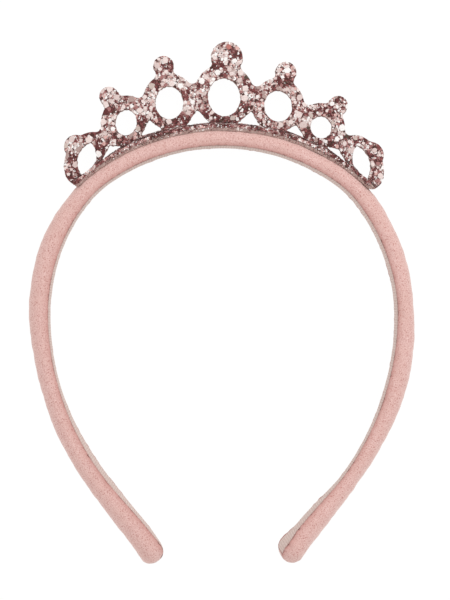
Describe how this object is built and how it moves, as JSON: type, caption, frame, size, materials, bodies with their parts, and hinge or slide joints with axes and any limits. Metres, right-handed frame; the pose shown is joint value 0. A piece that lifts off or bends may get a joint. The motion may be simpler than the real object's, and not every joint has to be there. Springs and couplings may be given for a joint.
{
  "type": "headband",
  "caption": "Child's padded headband: a fabric-wrapped horseshoe band lined with ribbon, carrying a small upright crown cut from glitter sheet.",
  "frame": {"origin": "middle of the outline seen from the front, on the surface that the headband lies on", "axes": "the headband lies on its back edge: +X to the wearer's left as seen from the front, +Y from the tips up to the crown, +Z from the back edge to the front edge"},
  "size_m": [0.1194, 0.162, 0.0134],
  "materials": {
    "band_fabric": "matt brushed jersey",
    "ribbon": "fine ribbed ribbon",
    "glitter_sheet": "chunky rose glitter",
    "felt": "matt felt"
  },
  "bodies": {
    "root": {"band": "band_fabric", "inner_ribbon": "ribbon", "crown": "glitter_sheet", "crown_backing": "felt"}
  },
  "joints": []
}
